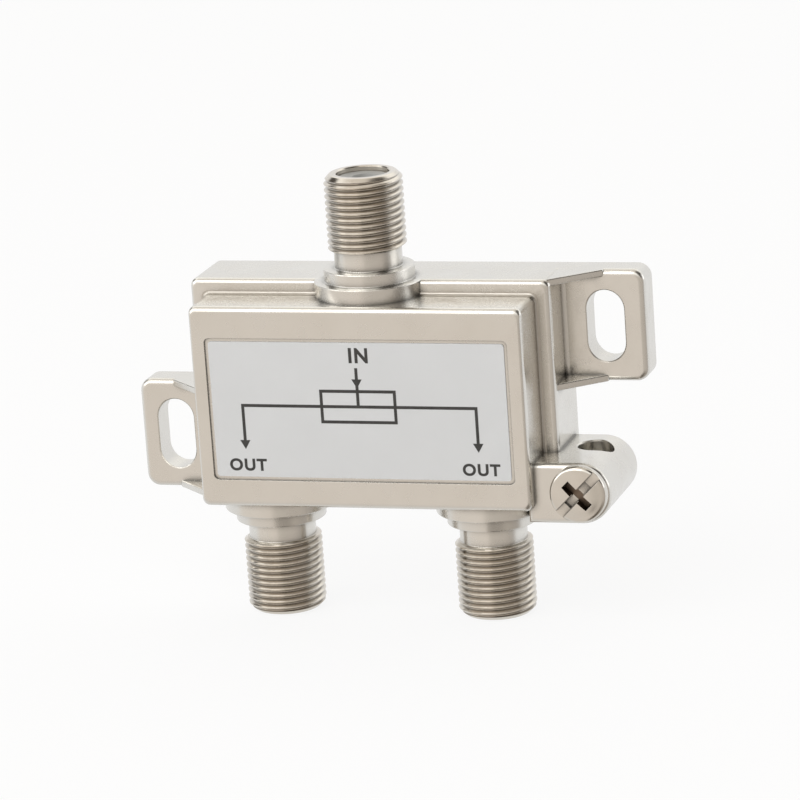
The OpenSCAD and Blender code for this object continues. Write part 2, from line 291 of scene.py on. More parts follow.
@dataclass(frozen=True)
class Moulded:
    """Plastic, film, ceramic or laminate: a mottled body colour under a fine relief."""

    name: str
    tone: Colour
    mottle: Colour
    roughness: tuple[float, float]
    patch: float = 0.8
    grain: float = 0.1
    grain_depth: float = 0.001
    stretch: Colour = (1, 1, 1)

    def build(self) -> bpy.types.Material:
        """Returns the finished material."""
        nodes = Nodes(self.name)
        colour = nodes.tones(nodes.noise(self.patch, 3, self.stretch), self.tone, self.mottle)
        roughness = nodes.range(nodes.noise(self.patch * 2, 3), *self.roughness)
        normal = nodes.bump(nodes.noise(self.grain, 2, self.stretch), self.grain_depth)
        return nodes.finish(colour, roughness, normal)


class Finish(Enum):
    """The finishes of the splitter's pieces."""

    CASTING = CastMetal("nickel_casting", (0.735, 0.715, 0.675), (0.765, 0.75, 0.715), (0.20, 0.30))
    THREAD = CastMetal(
        "turned_nickel", (0.70, 0.65, 0.58), (0.76, 0.72, 0.66), (0.14, 0.24), grain_depth=0.0008, edge=0.03,
        painted_shade_share=0.55, painted_shade_reach=0.6,
    )
    # Painted shade: a darker casting colour for the hollow corner of the step.
    HOLLOW = CastMetal("cast_hollow", (0.51, 0.48, 0.435), (0.56, 0.53, 0.485), (0.28, 0.38), painted_shade_share=0.75)
    TINPLATE = CastMetal(
        "tinned_steel", (0.66, 0.65, 0.63), (0.58, 0.57, 0.55), (0.22, 0.36), grain=0.2, stretch=(12, 1, 1)
    )
    SOLDER = CastMetal(
        "solder", (0.66, 0.66, 0.65), (0.52, 0.52, 0.51), (0.16, 0.42), drift=2.0, waves=0.9, wave_depth=0.03
    )
    SCREW = CastMetal(
        "zinc_plated_steel", (0.74, 0.71, 0.66), (0.68, 0.65, 0.60), (0.12, 0.22), drift=2.5, edge=0.05,
        painted_shade_share=0.15, painted_shade_reach=1.0,
    )
    # Painted shade: a near-black brown for the inside of the screw's recess.
    RECESS = CastMetal("screw_recess", (0.17, 0.13, 0.10), (0.23, 0.18, 0.14), (0.3, 0.4), drift=0.8, edge=0.03)
    BRASS = CastMetal("contact_brass", (0.78, 0.58, 0.26), (0.68, 0.47, 0.2), (0.2, 0.34), drift=1.5, edge=0.04)
    COPPER = CastMetal("enamelled_copper", (0.62, 0.24, 0.09), (0.5, 0.17, 0.06), (0.16, 0.26), drift=1, edge=0.02)
    FILM = Moulded("label_film", (0.672, 0.69, 0.712), (0.654, 0.672, 0.693), (0.34, 0.44), patch=6)
    INK = Moulded("label_ink", (0.032, 0.032, 0.032), (0.045, 0.045, 0.044), (0.4, 0.55))
    INSULATOR = Moulded("insulator_plastic", (0.345, 0.35, 0.345), (0.315, 0.32, 0.315), (0.38, 0.5), patch=2)
    LAMINATE = Moulded(
        "board_laminate", (0.11, 0.075, 0.025), (0.16, 0.11, 0.04), (0.42, 0.6), grain=0.3, stretch=(5, 1, 1)
    )
    FERRITE = Moulded("ferrite", (0.032, 0.033, 0.036), (0.06, 0.06, 0.064), (0.5, 0.72), patch=0.3, grain_depth=0.01)
    RESISTOR = Moulded("chip_resistor", (0.014, 0.014, 0.016), (0.022, 0.022, 0.024), (0.3, 0.42))
    CERAMIC = Moulded("chip_ceramic", (0.42, 0.26, 0.14), (0.36, 0.22, 0.11), (0.4, 0.52), patch=0.25)


@dataclass
class Wardrobe:
    """Builds each finish once and puts it on pieces."""

    made: dict[Finish, bpy.types.Material] = field(default_factory=dict)

    def get(self, finish: Finish) -> bpy.types.Material:
        """Returns the material of a finish, built on first use.

        Args:
            finish: the finish.
        """
        if finish not in self.made:
            self.made[finish] = finish.value.build()
        return self.made[finish]

    def dress(self, piece: bpy.types.Object, *finishes: Finish) -> None:
        """Gives a piece its materials, in the order of its slots.

        Args:
            piece: the object.
            finishes: its finishes.
        """
        piece.data.materials.clear()
        for finish in finishes:
            piece.data.materials.append(self.get(finish))
        log.info("%s wears %s", piece.name, ", ".join(finish.value.name for finish in finishes))


def deselect_all() -> None:
    """Leaves object mode with nothing selected."""
    if bpy.context.object and bpy.context.object.mode != "OBJECT":
        bpy.ops.object.mode_set(mode="OBJECT")
    bpy.ops.object.select_all(action="DESELECT")


def make_active(piece: bpy.types.Object) -> None:
    """Selects one object only.

    Args:
        piece: the object.
    """
    deselect_all()
    piece.select_set(True)
    bpy.context.view_layer.objects.active = piece


def select_parts(piece: bpy.types.Object, mode: str, test: Callable[[Vector], bool]) -> None:
    """Opens a piece in edit mode with the vertices, edges or faces selected whose middle passes a test.

    Args:
        piece: the object.
        mode: VERT, EDGE or FACE.
        test: says whether a middle point is wanted.
    """
    make_active(piece)
    bpy.ops.object.mode_set(mode="EDIT")
    bpy.ops.mesh.select_mode(type=mode)
    bpy.ops.mesh.select_all(action="DESELECT")
    bpy.ops.object.mode_set(mode="OBJECT")
    mesh = piece.data
    if mode == "VERT":
        for part in mesh.vertices:
            part.select = test(part.co)
    elif mode == "EDGE":
        for part in mesh.edges:
            ends = [mesh.vertices[index].co for index in part.vertices]
            part.select = test((ends[0] + ends[1]) / 2)
    else:
        for part in mesh.polygons:
            part.select = test(part.center)
    bpy.ops.object.mode_set(mode="EDIT")


def bevel_edges(piece: bpy.types.Object, radius: float, segments: int, test: Callable[[Vector], bool]) -> None:
    """Rounds the edges of a piece whose middle passes a test.

    Args:
        piece: the object.
        radius: the radius of the rounding.
        segments: the faces across it.
        test: says whether an edge with this middle is rounded.
    """
    select_parts(piece, "EDGE", test)
    bpy.ops.mesh.bevel(offset=radius, segments=segments, profile=0.5, affect="EDGES", clamp_overlap=False)
    bpy.ops.object.mode_set(mode="OBJECT")


def apply_modifier(piece: bpy.types.Object, kind: str, **settings: object) -> None:
    """Adds a modifier to a piece and applies it.

    Args:
        piece: the object.
        kind: the modifier's Blender type.
        settings: the modifier's settings.
    """
    make_active(piece)
    modifier = piece.modifiers.new(kind.lower(), kind)
    for name, value in settings.items():
        setattr(modifier, name, value)
    bpy.ops.object.modifier_apply(modifier=modifier.name)


def discard(piece: bpy.types.Object) -> None:
    """Deletes a helper object and its mesh.

    Args:
        piece: the object.
    """
    mesh = piece.data
    bpy.data.objects.remove(piece)
    bpy.data.meshes.remove(mesh)


def repeat(piece: bpy.types.Object, count: int) -> list[bpy.types.Object]:
    """Copies a piece, each copy with its own mesh.

    Args:
        piece: the object.
        count: how many are wanted, with the first.

    Returns:
        The piece and its copies.
    """
    pieces = [piece]
    for _ in range(count - 1):
        copy = piece.copy()
        copy.data = piece.data.copy()
        bpy.context.scene.collection.objects.link(copy)
        pieces.append(copy)
    return pieces


def combine(piece: bpy.types.Object, operation: str, *others: bpy.types.Object) -> None:
    """Joins other closed shapes to a piece, or takes them out of it, and deletes them.

    Args:
        piece: the object that is changed.
        operation: UNION or DIFFERENCE.
        others: the shapes that are used up.
    """
    for other in others:
        apply_modifier(piece, "BOOLEAN", operation=operation, solver="EXACT", object=other)
        discard(other)


def close(piece: bpy.types.Object) -> None:
    """Caps a shape's open ends and turns its faces outward.

    Args:
        piece: the shape.
    """
    make_active(piece)
    bpy.ops.object.mode_set(mode="EDIT")
    bpy.ops.mesh.select_mode(type="EDGE")
    bpy.ops.mesh.select_all(action="DESELECT")
    bpy.ops.mesh.select_non_manifold()
    bpy.ops.mesh.edge_face_add()
    bpy.ops.mesh.select_all(action="SELECT")
    bpy.ops.mesh.normals_make_consistent(inside=False)
    bpy.ops.object.mode_set(mode="OBJECT")


def weld(piece: bpy.types.Object) -> None:
    """Joins a shape's doubled points and turns its faces outward.

    Args:
        piece: the shape.
    """
    make_active(piece)
    bpy.ops.object.mode_set(mode="EDIT")
    bpy.ops.mesh.select_all(action="SELECT")
    bpy.ops.mesh.remove_doubles(threshold=0.0001)
    bpy.ops.mesh.normals_make_consistent(inside=False)
    bpy.ops.object.mode_set(mode="OBJECT")


def place_mesh(piece: bpy.types.Object, matrix: Matrix) -> None:
    """Moves a piece's mesh, so that its object stays at the origin.

    Args:
        piece: the object.
        matrix: the move.
    """
    make_active(piece)
    bpy.ops.object.transform_apply(location=True, rotation=True, scale=True)
    piece.data.transform(matrix)
    piece.data.update()


def finish_mesh(piece: bpy.types.Object, name: str, angle: float = 32.0) -> bpy.types.Object:
    """Names a piece, brings it from millimetres to metres and shades it smoothly apart from its sharp edges.

    Args:
        piece: the object.
        name: its name.
        angle: edges that turn more than this many degrees stay sharp.

    Returns:
        The same object.
    """
    piece.name = piece.data.name = name
    place_mesh(piece, Matrix.Scale(MM, 4))
    make_active(piece)
    bpy.ops.object.shade_smooth_by_angle(angle=math.radians(angle))
    apply_modifier(piece, "WEIGHTED_NORMAL", keep_sharp=True)
    return piece


def prism(
    corner: float, levels: list[tuple[float, float, float]], middle: tuple[float, float] = (0, 0), segments: int = 5
) -> bpy.types.Object:
    """Draws a rounded rectangle out toward the viewer, level by level.

    Args:
        corner: the corner radius of the first level.
        levels: each level's distance in front of the wall, its width and its height.
        middle: the middle of the outline, along X and Z.
        segments: the faces round a corner.

    Returns:
        The closed shape, in millimetres.
    """
    x, z = middle
    depth, width, height = levels[0]
    deselect_all()
    bpy.ops.mesh.primitive_plane_add(size=1, location=(x, -depth, z), rotation=(math.pi / 2, 0, 0))
    shape = bpy.context.object
    shape.scale = (width, height, 1)
    bpy.ops.object.transform_apply(location=True, rotation=True, scale=True)
    bpy.ops.object.mode_set(mode="EDIT")
    bpy.ops.mesh.select_all(action="SELECT")
    bpy.ops.mesh.bevel(offset=corner, segments=segments, profile=0.5, affect="VERTICES", clamp_overlap=False)
    for next_depth, next_width, next_height in levels[1:]:
        bpy.ops.mesh.extrude_region_move(TRANSFORM_OT_translate={"value": (0, depth - next_depth, 0)})
        bpy.ops.transform.resize(
            value=(next_width / width, 1, next_height / height), center_override=(x, -next_depth, z)
        )
        depth, width, height = next_depth, next_width, next_height
    bpy.ops.object.mode_set(mode="OBJECT")
    close(shape)
    return shape


def turning(outline: list[tuple[float, float]], sides: int = 96) -> bpy.types.Object:
    """Draws a disc up along +Z, step by step, as on a lathe.

    Args:
        outline: the radius and height of each step, from the bottom up, in millimetres.
        sides: the faces round the axis.

    Returns:
        The closed shape on the Z axis, in millimetres.
    """
    radius, height = outline[0]
    deselect_all()
    bpy.ops.mesh.primitive_circle_add(vertices=sides, radius=radius, fill_type="NGON", location=(0, 0, height))
    shape = bpy.context.object
    bpy.ops.object.transform_apply(location=True, rotation=True, scale=True)
    bpy.ops.object.mode_set(mode="EDIT")
    bpy.ops.mesh.select_all(action="SELECT")
    for next_radius, next_height in outline[1:]:
        bpy.ops.mesh.extrude_region_move(TRANSFORM_OT_translate={"value": (0, 0, next_height - height)})
        share = next_radius / radius
        bpy.ops.transform.resize(value=(share, share, 1), center_override=(0, 0, next_height))
        radius, height = next_radius, next_height
    bpy.ops.object.mode_set(mode="OBJECT")
    close(shape)
    return shape


def block(low: Colour, high: Colour) -> bpy.types.Object:
    """Adds a box.

    Args:
        low: its lowest corner, in millimetres.
        high: its highest corner, in millimetres.

    Returns:
        The box.
    """
    deselect_all()
    bpy.ops.mesh.primitive_cube_add(size=1, location=[(a + b) / 2 for a, b in zip(low, high)])
    shape = bpy.context.object
    shape.scale = [b - a for a, b in zip(low, high)]
    bpy.ops.object.transform_apply(location=True, rotation=True, scale=True)
    return shape


@dataclass(frozen=True)
class Mount:
    """A place on the splitter that the record measures, in millimetres."""

    name: str

    @property
    def row(self) -> dict:
        """The record's row of this mount."""
        return next(row for row in frame["record"]["mounts"] if row["name"] == self.name)

    @property
    def place(self) -> Vector:
        """The mount's middle."""
        return Vector(self.row["pos_m"]) / MM

    @property
    def axis(self) -> Vector:
        """The way in which a mating part leaves."""
        return Vector(self.row["axis"])

    @property
    def radius(self) -> float:
        """The radius of the mount's wall."""
        return self.row["dims"]["r_mm"]

    @property
    def length(self) -> float:
        """The length of the mount's wall."""
        return self.row["dims"]["length_mm"]


def at_port(mount: Mount) -> Matrix:
    """Returns the move from the Z axis to a port, which keeps a right-hand thread right-handed.

    Args:
        mount: the port's mount.
    """
    turn = Matrix.Rotation(math.pi, 4, "Y") if mount.axis.z < 0 else Matrix.Identity(4)
    return Matrix.Translation((mount.place.x, mount.place.y, 0)) @ turn


@dataclass(frozen=True)
class HelicalGroove:
    """The cutter of a right-hand thread round the Z axis, with its flanks at 60 degrees."""

    radius: float
    pitch: float
    start: float
    end: float
    root_flat: float = 0.12
    crest_flat: float = 0.2
    crest_bevel: float = 0.05
    steps: int = 72

    def build(self) -> bpy.types.Object:
        """Returns the cutter, swept from a groove's section.

        The section starts as a square, is drawn out to the groove's flanks and then flared, so
        that the crests that it leaves are softened.
        """
        flank = math.tan(math.radians(30))
        groove = self.pitch * (1 - self.crest_flat)
        root = self.pitch * self.root_flat
        depth = (groove - root) / 2 / flank
        mouth = groove - 2 * self.crest_bevel * flank
        deselect_all()
        bpy.ops.mesh.primitive_plane_add(
            size=root, location=(self.radius - depth + root / 2, 0, self.start), rotation=(math.pi / 2, 0, 0)
        )
        section = bpy.context.object
        bpy.ops.object.transform_apply(location=True, rotation=True, scale=True)
        middle = Vector((self.radius, 0, self.start))
        select_parts(section, "VERT", lambda co: co.x > self.radius - depth + root / 2)
        bpy.ops.transform.translate(value=(depth - root - self.crest_bevel, 0, 0))
        bpy.ops.transform.resize(value=(1, 1, mouth / root), center_override=middle)
        bpy.ops.mesh.extrude_region_move(TRANSFORM_OT_translate={"value": (self.crest_bevel, 0, 0)})
        bpy.ops.transform.resize(value=(1, 1, (groove + self.crest_bevel) / mouth), center_override=middle)
        bpy.ops.mesh.extrude_region_move(TRANSFORM_OT_translate={"value": (self.crest_bevel * 2, 0, 0)})
        bpy.ops.mesh.select_all(action="SELECT")
        bpy.ops.mesh.dissolve_limited(angle_limit=0.001, use_dissolve_boundaries=False)
        bpy.ops.mesh.select_all(action="SELECT")
        bpy.ops.mesh.delete(type="ONLY_FACE")
        turns = math.ceil((self.end - self.start) / self.pitch)
        apply_modifier(
            section, "SCREW", axis="Z", angle=2 * math.pi, screw_offset=self.pitch, iterations=turns,
            steps=self.steps, render_steps=self.steps, use_smooth_shade=False,
        )
        self.cap(section)
        return section

    @staticmethod
    def cap(piece: bpy.types.Object) -> None:
        """Fills the two open ends of the sweep and turns its faces outward.

        Args:
            piece: the sweep.
        """
        make_active(piece)
        bpy.ops.object.mode_set(mode="EDIT")
        bpy.ops.mesh.select_mode(type="EDGE")
        bpy.ops.mesh.select_all(action="DESELECT")
        bpy.ops.mesh.select_non_manifold()
        bpy.ops.mesh.fill()
        bpy.ops.mesh.select_all(action="SELECT")
        bpy.ops.mesh.normals_make_consistent(inside=False)
        bpy.ops.object.mode_set(mode="OBJECT")


@dataclass
class Port:
    """One threaded port of the casting, from its boss to its rim, in millimetres."""

    root_height: float
    boss_height: float
    boss_diameter: float = 13.5
    collar_diameter: float = 11.0
    collar_height: float = 1.5
    neck_diameter: float = 8.2
    neck_length: float = 2.35
    rim_bevel: float = 0.75
    bore_diameter: float = 6.4
    boss_sink: float = 0.03
    pitch: float = 25.4 / 32
    softness: float = 0.14

    def build(self, mount: Mount) -> bpy.types.Object:
        """Returns the port without its bore, standing on the origin along +Z.

        Args:
            mount: the port's mount, whose wall is the thread's outside.
        """
        barrel = mount.radius
        thread_start = self.boss_height + self.collar_height + self.neck_length
        thread_end = thread_start + mount.length
        shape = turning([
            (self.boss_diameter / 2, self.root_height),
            (self.boss_diameter / 2, self.boss_height - self.boss_sink),
            (self.collar_diameter / 2, self.boss_height - self.boss_sink),
            (self.collar_diameter / 2, self.boss_height + self.collar_height),
            (self.neck_diameter / 2, self.boss_height + self.collar_height),
            (self.neck_diameter / 2, thread_start),
            (barrel, thread_start),
            (barrel, thread_end),
            (barrel - self.rim_bevel, thread_end + self.rim_bevel),
        ])
        apply_modifier(
            shape, "BEVEL", width=self.softness, segments=3, limit_method="ANGLE", angle_limit=math.radians(30)
        )
        groove = HelicalGroove(barrel, self.pitch, thread_start - self.pitch, thread_end + 2 * self.pitch)
        combine(shape, "DIFFERENCE", groove.build())
        return shape

    def bore(self, rim: float) -> bpy.types.Object:
        """Returns the cutter of the bore, with a soft mouth.

        Args:
            rim: the height of the rim.
        """
        radius = self.bore_diameter / 2
        return turning([
            (radius, self.root_height - 2),
            (radius, rim - self.softness),
            (radius + self.softness, rim),
            (radius + self.softness, rim + 1),
        ])


@dataclass
class Ear:
    """A slotted fixing ear with its gussets and the hollow corner at its root, on the +X side, in millimetres."""

    reach: float
    slot: Mount
    side: float
    block_front: float
    thickness: float = 3.8
    height: float = 13.8
    corner: float = 1.6
    edge: float = 0.8
    cove: float = 0.5
    slot_width: float = 4.65
    slot_length: float = 8.8
    slot_bevel: float = 0.12
    gusset: float = 0.85
    gusset_reach: float = 5.2
    overlap: float = 0.5

    def build(self) -> list[bpy.types.Object]:
        """Returns the plate, its two gussets and its root's filler, as closed shapes."""
        z = self.slot.place.z
        inner = self.side - self.overlap - self.corner
        plate = prism(
            self.corner,
            [(0, self.reach - inner, self.height), (self.thickness, self.reach - inner, self.height)],
            middle=((self.reach + inner) / 2, z), segments=10,
        )
        bevel_edges(plate, self.edge, 5, lambda co: co.y < 0.01 - self.thickness)
        shapes = [plate]
        for edge in (z + self.height / 2 - self.gusset, z - self.height / 2):
            shapes.append(self.web(edge))
        shapes.append(self.root(z))
        return shapes

    def web(self, low: float) -> bpy.types.Object:
        """Returns one gusset.

        Args:
            low: the height of its lower face.
        """
        outer = self.side + self.gusset_reach
        front = self.edge - self.block_front
        slope = (self.block_front - self.edge - self.thickness) / self.gusset_reach
        start = self.side - self.overlap
        shape = block((start, front - slope * self.overlap, low), (outer, -1, low + self.gusset))
        select_parts(shape, "VERT", lambda co: co.x > start + 1 and co.y < -2)
        bpy.ops.transform.translate(value=(0, -self.thickness + 0.02 - (front - slope * self.overlap), 0))
        bpy.ops.object.mode_set(mode="OBJECT")
        apply_modifier(shape, "BEVEL", width=0.16, segments=3, limit_method="ANGLE", angle_limit=math.radians(20))
        return shape

    def root(self, z: float) -> bpy.types.Object:
        """Returns the filler of the hollow corner between the ear and the block's side.

        Args:
            z: the height of the ear's middle.
        """
        half = self.height / 2 - self.gusset / 2
        front = -self.thickness - self.cove
        shape = block(
            (self.side - self.overlap, front, z - half), (self.side + self.cove, 0.3 - self.thickness, z + half)
        )
        deselect_all()
        bpy.ops.mesh.primitive_cylinder_add(
            vertices=64, radius=self.cove, depth=self.height + 2, location=(self.side + self.cove, front, z)
        )
        combine(shape, "DIFFERENCE", bpy.context.object)
        return shape

    def slot_cutter(self) -> bpy.types.Object:
        """Returns the cutter of the slot, wider where it meets the two faces."""
        wide = 2 * self.slot_bevel
        size = (self.slot_width, self.slot_length)
        flared = (size[0] + 2 * wide, size[1] + 2 * wide)
        place = abs(self.slot.place.x)
        return prism(
            flared[0] / 2 - 0.001,
            [
                (-wide + self.slot_bevel, *flared),
                (self.slot_bevel, *size),
                (self.thickness - self.slot_bevel, *size),
                (self.thickness + self.slot_bevel, *flared),
            ],
            middle=(place, self.slot.place.z), segments=16,
        )


@dataclass
class Lug:
    """The ground lug: a bar with a round end, a hole for the wire and one for the screw, in millimetres."""

    hole: Mount
    start: float
    height: float = 7.46
    front: float = 14.4
    back: float = 1.3
    edge: float = 0.8
    wire_diameter: float = 4.4
    screw_hole_diameter: float = 4.1
    mouth: float = 0.15
    screw_rise: float = 0.25

    def build(self) -> bpy.types.Object:
        """Returns the solid bar, drawn out of a cylinder."""
        x, z = self.hole.place.x, self.hole.place.z
        deselect_all()
        bpy.ops.mesh.primitive_cylinder_add(
            vertices=96, radius=self.height / 2, depth=self.front - self.back,
            location=(x, -(self.front + self.back) / 2, z), rotation=(math.pi / 2, 0, 0),
        )
        shape = bpy.context.object
        bpy.ops.object.transform_apply(location=True, rotation=True, scale=True)
        select_parts(shape, "VERT", lambda co: co.x < x - 0.05)
        bpy.ops.transform.resize(value=(0, 1, 1), center_override=(self.start, 0, 0))
        bpy.ops.mesh.select_all(action="SELECT")
        bpy.ops.mesh.dissolve_limited(angle_limit=0.001)
        bpy.ops.object.mode_set(mode="OBJECT")
        bevel_edges(shape, self.edge, 5, lambda co: co.y < 0.01 - self.front)
        return shape

    def cutters(self) -> list[bpy.types.Object]:
        """Returns the cutters of the wire's hole and of the screw's hole."""
        wire = turning([
            (self.wire_diameter / 2 + 2 * self.mouth, -self.height / 2 - self.mouth),
            (self.wire_diameter / 2, -self.height / 2 + self.mouth),
            (self.wire_diameter / 2, self.height / 2 - self.mouth),
            (self.wire_diameter / 2 + 2 * self.mouth, self.height / 2 + self.mouth),
        ], sides=64)
        place_mesh(wire, Matrix.Translation(self.hole.place))
        depth = self.front + self.hole.place.y
        screw = turning([
            (self.screw_hole_diameter / 2, 0),
            (self.screw_hole_diameter / 2, depth - self.mouth),
            (self.screw_hole_diameter / 2 + 2 * self.mouth, depth + self.mouth),
        ], sides=64)
        lift = Vector((0, 0, self.screw_rise))
        place_mesh(screw, Matrix.Translation(self.hole.place + lift) @ Matrix.Rotation(math.pi / 2, 4, "X"))
        return [wire, screw]


@dataclass
class Casting:
    """The plated die casting: block, ears, lug and three threaded ports, in millimetres."""

    wardrobe: Wardrobe
    width: float = 41.5
    height: float = 24.9
    depth: float = 16.0
    back_depth: float = 9.3
    step: float = 1.85
    corner: float = 0.95
    edge: float = 0.8
    cove: float = 0.5
    wall: float = 1.8
    front_wall: float = 1.6
    recess_width: float = 37.8
    recess_height: float = 17.7
    recess_shift: float = -0.2
    recess_depth: float = 0.25
    board_depth: float = 7.5
    seat_depth: float = 0.6
    ledge: float = 0.9

    @property
    def back_width(self) -> float:
        """The width of the back block."""
        return self.width + 2 * self.step

    @property
    def back_height(self) -> float:
        """The height of the back block."""
        return self.height + 2 * self.step

    def build(self) -> bpy.types.Object:
        """Returns the finished casting, which stands for the frame's housing."""
        low, high = (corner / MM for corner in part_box("housing"))
        piece = self.body()
        side = self.back_width / 2
        right = Ear(high.x, Mount("right_ear_slot"), side, self.back_depth)
        left = Ear(-low.x, Mount("left_ear_slot"), side, self.back_depth)
        lug = Lug(Mount("ground_wire_hole"), self.width / 2 - 1)
        combine(piece, "UNION", *right.build(), *[self.mirrored(shape) for shape in left.build()], lug.build())
        cutters = [right.slot_cutter(), self.mirrored(left.slot_cutter()), *lug.cutters(), self.core()]
        combine(piece, "DIFFERENCE", *cutters)
        port = Port(self.height / 2 - 1, self.back_height / 2)
        mounts = [Mount(name) for name in PORTS]
        for mount, shape in zip(mounts, repeat(port.build(mounts[0]), len(mounts))):
            place_mesh(shape, at_port(mount))
            combine(piece, "UNION", shape)
        for mount, bore in zip(mounts, repeat(port.bore(high.z), len(mounts))):
            place_mesh(bore, at_port(mount))
            combine(piece, "DIFFERENCE", bore)
        finish_mesh(piece, "cast_housing")
        self.wardrobe.dress(piece, Finish.CASTING, Finish.THREAD, Finish.HOLLOW)
        self.mark_threads(piece)
        self.paint_cove_shade(piece)
        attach(piece, Body.SPLITTER.value)
        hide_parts("housing")
        return piece

    def body(self) -> bpy.types.Object:
        """Returns the stepped block, drawn out of its back outline, with soft edges and a hollow corner."""
        back = (self.back_width, self.back_height)
        front = (self.width, self.height)
        shape = prism(self.corner, [
            (0, *back),
            (self.back_depth, *back),
            (self.back_depth, *front),
            (self.depth, *front),
            (self.depth, self.recess_width, self.recess_height),
            (self.depth - self.recess_depth, self.recess_width, self.recess_height),
        ], segments=6)
        near = 0.01
        select_parts(shape, "VERT", lambda co: abs(co.z) < self.recess_height / 2 + near
                     and abs(co.x) < self.recess_width / 2 + near and co.y < -self.depth + self.recess_depth + near)
        bpy.ops.transform.translate(value=(0, 0, self.recess_shift))
        bpy.ops.object.mode_set(mode="OBJECT")
        bevel_edges(shape, self.edge, 5, lambda co: self.on_loop(co, self.depth, self.width, self.height))
        bevel_edges(shape, self.edge, 5, lambda co: self.on_loop(
            co, self.back_depth, self.back_width, self.back_height))
        bevel_edges(shape, self.cove, 5, lambda co: abs(co.y + self.back_depth) < near
                    and abs(co.x) < self.width / 2 + near and abs(co.z) < self.height / 2 + near)
        return shape

    @staticmethod
    def on_loop(co: Vector, depth: float, width: float, height: float) -> bool:
        """Says whether an edge's middle lies on the outline of one of the block's faces.

        Args:
            co: the edge's middle.
            depth: the face's distance in front of the wall.
            width: the face's width.
            height: the face's height.
        """
        inset = 0.45
        return abs(co.y + depth) < 0.01 and (abs(co.x) > width / 2 - inset or abs(co.z) > height / 2 - inset)

    def core(self) -> bpy.types.Object:
        """Returns the cutter of the hollow: narrow in front, wide behind the ledge, widest for the cover."""
        front = (self.width - 2 * self.wall, self.height - 2 * self.wall)
        back = (self.back_width - 2 * self.wall, self.back_height - 2 * self.wall)
        seat = (back[0] + 2 * self.ledge, back[1] + 2 * self.ledge)
        return prism(self.edge, [
            (-1, *seat),
            (self.seat_depth, *seat),
            (self.seat_depth, *back),
            (self.board_depth, *back),
            (self.board_depth, *front),
            (self.depth - self.front_wall, *front),
        ])

    @staticmethod
    def mirrored(shape: bpy.types.Object) -> bpy.types.Object:
        """Moves a shape to the -X side.

        Args:
            shape: the shape, drawn on the +X side.

        Returns:
            The same shape, with its faces still outward.
        """
        place_mesh(shape, Matrix.Scale(-1, 4, (1, 0, 0)))
        make_active(shape)
        bpy.ops.object.mode_set(mode="EDIT")
        bpy.ops.mesh.select_all(action="SELECT")
        bpy.ops.mesh.normals_make_consistent(inside=False)
        bpy.ops.object.mode_set(mode="OBJECT")
        return shape

    def paint_cove_shade(self, piece: bpy.types.Object) -> None:
        """Puts the darker material on the hollow corner of the step: painted shade, on a duller surface.

        Args:
            piece: the casting, in metres.
        """
        for face in piece.data.polygons:
            place = face.center / MM
            behind = -self.back_depth - self.cove < place.y < -self.back_depth - 0.01
            if behind and abs(place.x) < self.width / 2 + self.cove and abs(place.z) < self.height / 2 + self.cove:
                face.material_index = 2

    def mark_threads(self, piece: bpy.types.Object) -> None:
        """Puts the turned finish on each port's barrel.

        Args:
            piece: the casting, in metres.
        """
        ports = [Mount(name) for name in PORTS]
        for face in piece.data.polygons:
            middle = face.center / MM
            for port in ports:
                reach = (middle - port.place).dot(port.axis)
                aside = (middle - port.place - port.axis * reach).length
                if reach > -port.length / 2 - 0.05 and aside < port.radius + 0.05:
                    face.material_index = 1


